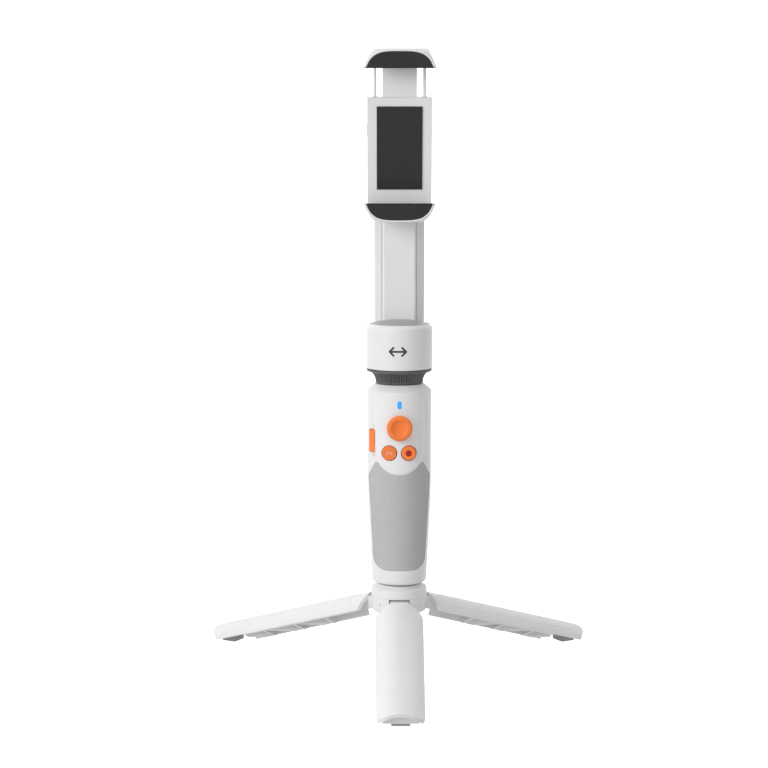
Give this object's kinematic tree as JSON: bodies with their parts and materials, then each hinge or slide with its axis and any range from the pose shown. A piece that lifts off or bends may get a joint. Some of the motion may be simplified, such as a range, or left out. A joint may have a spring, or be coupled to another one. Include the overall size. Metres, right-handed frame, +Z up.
{
  "type": "phone gimbal stabilizer",
  "caption": "Two-axis phone gimbal: handle with controls and telescopic rod, sliding arm, tilting sprung clamp, on a folding table tripod.",
  "frame": {"origin": "the point on the floor under the pan axis, between the three feet", "axes": "+Z up along the pan axis, -Y towards the control panel and the front leg, +X to the right seen from the panel"},
  "size_m": [0.2112, 0.1852, 0.3315],
  "materials": {
    "white_shell": "fine satin",
    "panel_white": "satin",
    "motor_white": "fine satin",
    "cap_grey": "satin",
    "soft_grip": "fine matt texture",
    "dark_knurl": "ribbed matt",
    "jaw_rubber": "fine grain",
    "foot_rubber": "matt",
    "orange_key": "soft satin",
    "record_red": "satin",
    "light_blue": "lit window",
    "steel": "turned",
    "rod_alloy": "satin anodised",
    "brass_socket": "turned",
    "copper_coil": "enamelled wire",
    "magnet": "plated",
    "core_steel": "laminated",
    "board": "solder mask",
    "black_plastic": "matt",
    "battery_wrap": "shrink wrap"
  },
  "bodies": {
    "handle": {"tripod_collar": "white_shell", "tripod_screw": "steel", "tripod_hub": "white_shell", "leg_hinge_pins": "steel", "handle_front_shell": "white_shell", "handle_rear_shell": "white_shell", "control_panel": "panel_white", "status_light": "light_blue", "front_grip": "soft_grip", "main_board": "board", "joystick_frame": "black_plastic", "tact_switches": "black_plastic", "handle_base_cap": "white_shell", "tripod_socket": "brass_socket", "rod_sleeve": "rod_alloy", "battery_pack": "battery_wrap", "charging_port": "steel", "shell_screws": "steel"},
    "front_leg": {"leg_front": "white_shell", "foot_pad_front": "foot_rubber"},
    "right_leg": {"leg_right": "white_shell", "foot_pad_right": "foot_rubber"},
    "left_leg": {"leg_left": "white_shell", "foot_pad_left": "foot_rubber"},
    "stage_1": {"rod_stage_1": "rod_alloy"},
    "stage_2": {"rod_stage_2": "rod_alloy"},
    "stage_3": {"rod_stage_3": "rod_alloy"},
    "motor_base": {"rod_stage_4": "rod_alloy", "knurled_base": "dark_knurl", "pan_stator": "core_steel", "pan_windings": "copper_coil", "pan_bearings": "steel"},
    "pan_head": {"pan_housing": "motor_white", "pan_magnets": "magnet", "pan_shaft": "steel", "pan_top_cap": "cap_grey", "mast": "white_shell"},
    "slide_arm": {"arm": "white_shell", "arm_rear_cover": "white_shell", "roll_stator": "core_steel", "roll_windings": "copper_coil", "roll_bearings": "steel"},
    "roll_head": {"roll_rotor": "white_shell", "roll_magnets": "magnet", "roll_shaft": "steel", "tilt_bracket": "white_shell"},
    "phone_clamp": {"clamp_body": "white_shell", "clamp_rear_cover": "white_shell", "clamp_face_pad": "jaw_rubber", "lower_jaw_pad": "jaw_rubber", "tilt_pin": "steel", "clamp_springs": "steel"},
    "sliding_jaw": {"upper_jaw": "white_shell", "upper_jaw_pad": "jaw_rubber"},
    "stick_yoke": {"joystick_yoke": "black_plastic"},
    "stick": {"joystick_cap": "orange_key"},
    "mode_key": {"mode_button": "orange_key"},
    "record_key": {"record_button": "orange_key", "record_dot": "record_red"},
    "zoom_key": {"zoom_rocker": "orange_key"}
  },
  "joints": [
    {"name": "front_leg_fold", "type": "hinge", "parent": "handle", "child": "front_leg", "pos_m": [0, -0.0095, 0.0357], "axis": [1, 0, 0], "range_deg": [0, 72.9]},
    {"name": "right_leg_fold", "type": "hinge", "parent": "handle", "child": "right_leg", "pos_m": [0.00823, 0.00475, 0.0357], "axis": [-0.5, 0.866, 0], "range_deg": [0, 72.9]},
    {"name": "left_leg_fold", "type": "hinge", "parent": "handle", "child": "left_leg", "pos_m": [-0.00823, 0.00475, 0.0357], "axis": [-0.5, -0.866, 0], "range_deg": [0, 72.9]},
    {"name": "rod_slide_1", "type": "slide", "parent": "handle", "child": "stage_1", "axis": [0, 0, 1], "range_m": [0, 0.06475]},
    {"name": "rod_slide_2", "type": "slide", "parent": "stage_1", "child": "stage_2", "axis": [0, 0, 1], "range_m": [0, 0.06475]},
    {"name": "rod_slide_3", "type": "slide", "parent": "stage_2", "child": "stage_3", "axis": [0, 0, 1], "range_m": [0, 0.06475]},
    {"name": "rod_slide_4", "type": "slide", "parent": "stage_3", "child": "motor_base", "axis": [0, 0, 1], "range_m": [0, 0.06475]},
    {"name": "pan", "type": "hinge", "parent": "motor_base", "child": "pan_head", "pos_m": [0, 0, 0.174], "axis": [0, 0, 1], "range_deg": [-120, 120]},
    {"name": "arm_slide", "type": "slide", "parent": "pan_head", "child": "slide_arm", "axis": [0, 0, 1], "range_m": [-0.022, 0]},
    {"name": "roll", "type": "hinge", "parent": "slide_arm", "child": "roll_head", "pos_m": [0, 0.012, 0.2892], "axis": [0, 1, 0], "range_deg": [-120, 120]},
    {"name": "clamp_tilt", "type": "hinge", "parent": "roll_head", "child": "phone_clamp", "pos_m": [0, 0.002, 0.2892], "axis": [1, 0, 0], "range_deg": [-25, 0]},
    {"name": "jaw_slide", "type": "slide", "parent": "phone_clamp", "child": "sliding_jaw", "axis": [0, -0.1736, 0.9848], "range_m": [-0.0194, 0.0106], "deforming": ["clamp_springs"]},
    {"name": "stick_up_down", "type": "hinge", "parent": "handle", "child": "stick_yoke", "pos_m": [0, -0.012, 0.1333], "axis": [1, 0, 0], "range_deg": [-12, 12], "stiffness_Nm_per_rad": 0.02},
    {"name": "stick_left_right", "type": "hinge", "parent": "stick_yoke", "child": "stick", "pos_m": [0, -0.012, 0.1333], "axis": [0, 0, 1], "range_deg": [-12, 12], "stiffness_Nm_per_rad": 0.02},
    {"name": "mode_press", "type": "slide", "parent": "handle", "child": "mode_key", "axis": [0, 1, 0], "range_m": [0, 0.0004], "stiffness_N_per_m": 800},
    {"name": "record_press", "type": "slide", "parent": "handle", "child": "record_key", "axis": [0, 1, 0], "range_m": [0, 0.0004], "stiffness_N_per_m": 800},
    {"name": "zoom_rock", "type": "hinge", "parent": "handle", "child": "zoom_key", "pos_m": [-0.01216, -0.0079, 0.1252], "axis": [0.5446, -0.8387, 0], "range_deg": [-3, 3], "stiffness_Nm_per_rad": 0.02}
  ]
}
